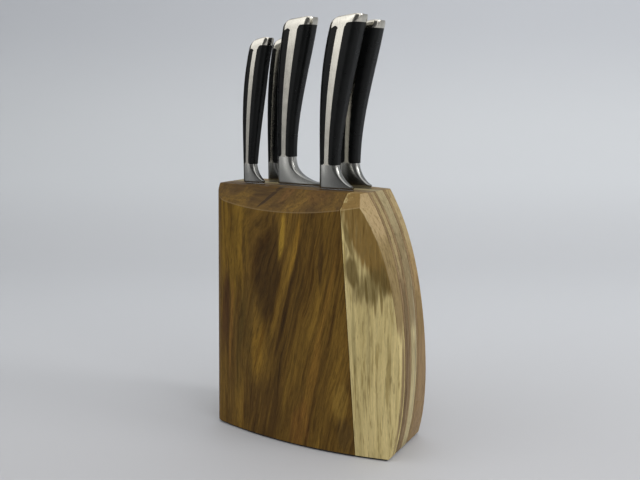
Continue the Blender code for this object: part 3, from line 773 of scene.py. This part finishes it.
def bladeMesh(knife):
    # wedge-ground, point down; the bread knife has a scalloped edge
    width, tip, half = knife["blade"], knife["tip"], bladeShape["thick"] / 2
    top = bolsterShape["hover"] - bladeShape["joint"]
    length = knife["length"] - bladeShape["joint"]
    straight, edge = length - tip, bladeShape["edgeThick"] / 2
    count = 190 if knife.get("serrated") else 60
    depths = [length * i / count for i in range(count)] + [length - 0.0006, length]
    rings = []
    for depth in depths:
        pointed = max(0.0, (depth - straight) / tip)
        back = bladeShape["backCurve"] * width * min(pointed, 0.99) ** 2
        reach = width * math.sqrt(max(0.0, 1 - min(pointed, 0.9999) ** bladeShape["pointPower"]))
        reach = max(reach, back + bladeShape["leastWidth"])
        if knife.get("serrated") and bladeShape["plainHeel"] < depth < length - bladeShape["plainPoint"]:
            reach -= bladeShape["scallopDepth"] * abs(math.sin(math.pi * depth / bladeShape["scallop"]))
        grind = back + bladeShape["grindShare"] * (reach - back)
        hone = reach - (bladeShape["hone"] if reach - back > 0.004 else 0.2 * (reach - back))
        eased = back + bladeShape["backEase"]
        ring = [(eased, -half), (grind, -0.96 * half), (hone, -1.6 * edge), (reach, -0.3 * edge),
                (reach, 0.3 * edge), (hone, 1.6 * edge), (grind, 0.96 * half), (eased, half),
                (back, 0.6 * half), (back, -0.6 * half)]
        rings.append([(x, y, top - depth) for x, y in ring])
    return loftMesh("blade", rings[::-1])


def addPiece(name, mesh, place, body, material, angle, replaced):
    # angle is the turn in degrees past which an edge stays sharp
    mesh.name = name
    mesh.transform(Matrix.Translation(place))
    mesh.materials.clear()
    mesh.materials.append(material)
    mesh.shade_smooth()
    mesh.set_sharp_from_angle(angle=math.radians(angle))
    piece = bpy.data.objects.new(name, mesh)
    bpy.context.scene.collection.objects.link(piece)
    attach(piece, body)
    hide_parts(replaced)


sharpAngle = {"handle": 38, "bolster": 50, "blade": 25}
for name, knife in knives.items():
    readPlace(name, knife)
    body = name + "_knife"
    shapes = handlePieces(knife)
    for label, ending, material, slotName in (
            ("handleFrame", "_handle_frame", polished, "cap_steel"),
            ("spineInsert", "_spine_insert", black, "black_insert"),
            ("bellyInsert", "_belly_insert", black, "black_insert")):
        addPiece(name + "_" + label, shapes[label], knife["place"], body, material,
                 sharpAngle["handle"], name + ending)
    addPiece(name + "_bolsterSteel", bolsterMesh(knife), knife["place"], body, satin,
             sharpAngle["bolster"], name + "_bolster")
    addPiece(name + "_groundBlade", bladeMesh(knife), knife["place"], body, bladeSteel,
             sharpAngle["blade"], name + "_blade")
print("knives modelled")


# studio

studio = {
    # painted light on the sweep: darker near the front, paler far off, a bright band just above the floor and
    # a darker wall higher up
    "nearColour": (179, 179, 181), "farColour": (194, 196, 199),
    "hazeColour": (203, 206, 209), "wallColour": (190, 193, 198),
    "floorLength": 4.0, "sweepWidth": 8.0, "sweepRadius": 0.8, "wallAt": 1.5, "wallHeight": 1.8, "turn": 32.8,
    "roomTint": (0.98, 0.99, 1.0), "roomLevel": 0.62, "seenLevel": 0.38,
    # soft boxes and dark flags in the room: azimuth from the front to the right, elevation, half width, level
    "lobes": [(38, 25, 34, 0.15), (-40, 35, 25, 0.9)],
    # place, what it points at, size, power
    "lights": {
        "keyBox": ((0.95, -0.75, 1.15), (0.0, 0.0, 0.15), (1.8, 1.8), 11.5),
        "fillBox": ((-1.1, -0.9, 0.9), (0.0, 0.0, 0.15), (1.2, 1.2), 3),
        "topBox": ((0.1, 0.3, 1.6), (0.0, 0.1, 0.0), (1.8, 1.8), 7),
        "wallBox": ((1.9, 0.5, 1.1), (0.1, 1.9, 0.55), (0.9, 0.9), 19),
        "rightStrip": ((1.32, -0.46, 0.75), (0.0, 0.0, 0.3), (0.13, 1.5), 1.0),
        "frontStrip": ((-0.66, -1.28, 0.75), (0.0, 0.0, 0.3), (0.12, 1.5), 0.8),
    },
    # azimuth, distance, width, height, tone in the middle, tone at the rim
    "flags": {
        "sideFlag": (-88, 1.3, 1.5, 0.9, 0.008, 0.02),
        "frontFlag": (22, 1.3, 2.3, 1.1, 0.09, 0.4),
    },
}


def makeSweep(steps=16):
    # the floor, which curves up into the wall
    radius, half = studio["sweepRadius"], studio["sweepWidth"] / 2
    points = [(-studio["floorLength"], 0.0), (0.0, 0.0)]
    for i in range(steps + 1):
        angle = math.radians(90 * i / steps)
        points.append((studio["wallAt"] - radius * (1 - math.sin(angle)), radius * (1 - math.cos(angle))))
    points.append((studio["wallAt"], studio["wallHeight"]))
    shape = bmesh.new()
    rows = [[shape.verts.new((x, y, z)) for x in (-half, half)] for y, z in points]
    for (a, b), (c, d) in zip(rows, rows[1:]):
        shape.faces.new((a, b, d, c))
    mesh = bpy.data.meshes.new("sweep")
    shape.to_mesh(mesh)
    shape.free()
    mesh.shade_smooth()
    sweep = bpy.data.objects.new("sweep", mesh)
    bpy.context.scene.collection.objects.link(sweep)
    sweep.rotation_euler = (0, 0, math.radians(studio["turn"]))
    mesh.materials.append(paperMaterial())


def paperMaterial():
    made, tree, shader = newMaterial("paperSweep")
    place = addNode(tree, "ShaderNodeTexCoord").outputs["Object"]
    cloud = noise(tree, place, 1.4, 2.0, 0.5)
    fine = noise(tree, place, 900.0, 2.0, 0.6)
    parts = addNode(tree, "ShaderNodeSeparateXYZ", Vector=place).outputs
    near, far = srgb(*studio["nearColour"]), srgb(*studio["farColour"])
    # painted light: darker near the front and paler far off, brightest in a band where the floor curves up,
    # then darker up the wall
    tone = blendColour(tree, ramp(tree, parts["Y"], -0.3, 0.5), near, far)
    tone = blendColour(tree, ramp(tree, parts["Z"], 0.0, 0.12), tone, srgb(*studio["hazeColour"]))
    tone = blendColour(tree, ramp(tree, parts["Z"], 0.18, 0.5), tone, srgb(*studio["wallColour"]))
    colour = blendColour(tree, calc(tree, "MULTIPLY", cloud, 0.12), tone, (0.55, 0.55, 0.56))
    feed(tree, shader.inputs["Base Color"], colour)
    feed(tree, shader.inputs["Roughness"], ramp(tree, fine, 0.3, 0.7, 0.62, 0.75))
    bump = addNode(tree, "ShaderNodeBump", Strength=0.04, Distance=0.0002, Height=fine)
    feed(tree, shader.inputs["Normal"], bump.outputs[0])
    return made


def makeLight(name, place, target, size, power):
    data = bpy.data.lights.new(name, "AREA")
    data.shape, data.size, data.size_y = "RECTANGLE", size[0], size[1]
    data.energy = power
    light = bpy.data.objects.new(name, data)
    bpy.context.scene.collection.objects.link(light)
    light.visible_camera = False
    light.location = place
    light.rotation_euler = (Vector(place) - Vector(target)).to_track_quat("Z", "Y").to_euler()


def makeWorld():
    # a pale room all round, with the soft boxes and dark flags in it
    world = bpy.data.worlds.new("studioAir")
    bpy.context.scene.world = world
    world.use_nodes = True
    tree = world.node_tree
    direction = addNode(tree, "ShaderNodeTexCoord").outputs["Generated"]
    level = studio["roomLevel"]
    for azimuth, elevation, half, new in studio["lobes"]:
        a, e = math.radians(azimuth), math.radians(elevation)
        toward = (math.sin(a) * math.cos(e), -math.cos(a) * math.cos(e), math.sin(e))
        near = vecCalc(tree, "DOT_PRODUCT", direction, toward)
        mask = ramp(tree, near, math.cos(math.radians(half * 1.35)), math.cos(math.radians(half * 0.7)))
        blended = addNode(tree, "ShaderNodeMix")
        feed(tree, blended.inputs[0], mask)
        feed(tree, blended.inputs[2], level)
        feed(tree, blended.inputs[3], new)
        level = blended.outputs[0]
    # plain where it is looked at directly
    seen = addNode(tree, "ShaderNodeMix")
    feed(tree, seen.inputs[0], addNode(tree, "ShaderNodeLightPath").outputs["Is Camera Ray"])
    feed(tree, seen.inputs[2], level)
    feed(tree, seen.inputs[3], studio["seenLevel"])
    back = tree.nodes["Background"]
    back.inputs[0].default_value = (*studio["roomTint"], 1.0)
    feed(tree, back.inputs[1], seen.outputs[0])


def makeFlag(name, azimuth, distance, width, height, middle, rim):
    # an upright card that shows only in reflections, darker towards its middle
    a = math.radians(azimuth)
    out = Vector((math.sin(a), -math.cos(a), 0)) * distance
    side = Vector((math.cos(a), math.sin(a), 0)) * width / 2
    up = Vector((0, 0, height))
    mesh = bpy.data.meshes.new(name)
    mesh.from_pydata([tuple(v) for v in (out - side, out + side, out + side + up, out - side + up)], [],
                     [(0, 1, 2, 3)])
    flag = bpy.data.objects.new(name, mesh)
    bpy.context.scene.collection.objects.link(flag)
    flag.visible_camera = flag.visible_diffuse = flag.visible_shadow = False
    made, tree, shader = newMaterial(name + "Cloth")
    place = addNode(tree, "ShaderNodeTexCoord").outputs["Object"]
    level = vecCalc(tree, "MULTIPLY", vecCalc(tree, "SUBTRACT", place, tuple(out)), (1, 1, 0))
    weave = noise(tree, place, 40.0, 3.0, 0.6)
    away = calc(tree, "ADD", vecCalc(tree, "LENGTH", level), calc(tree, "MULTIPLY", weave, 0.02))
    tone = ramp(tree, away, 0.2 * width, 0.5 * width, middle, rim)
    feed(tree, shader.inputs["Base Color"], greyValue(tree, tone))
    shader.inputs["Roughness"].default_value = 0.9
    mesh.materials.append(made)


view = {"place": (0.42035, -0.61486, 0.31425), "tip": -0.18291, "turn": 0.57285, "lens": 47.82, "film": 36.0}


def makeCamera():
    data = bpy.data.cameras.new("productView")
    data.lens, data.sensor_width = view["lens"], view["film"]
    camera = bpy.data.objects.new("productView", data)
    bpy.context.scene.collection.objects.link(camera)
    camera.location = view["place"]
    camera.rotation_euler = (math.pi / 2 + view["tip"], 0.0, view["turn"])
    bpy.context.scene.camera = camera


makeSweep()
for name, (place, target, size, power) in studio["lights"].items():
    makeLight(name, place, target, size, power)
for name, (azimuth, distance, width, height, middle, rim) in studio["flags"].items():
    makeFlag(name, azimuth, distance, width, height, middle, rim)
makeWorld()
makeCamera()
bpy.context.scene.view_settings.view_transform = "Standard"
print("studio ready")
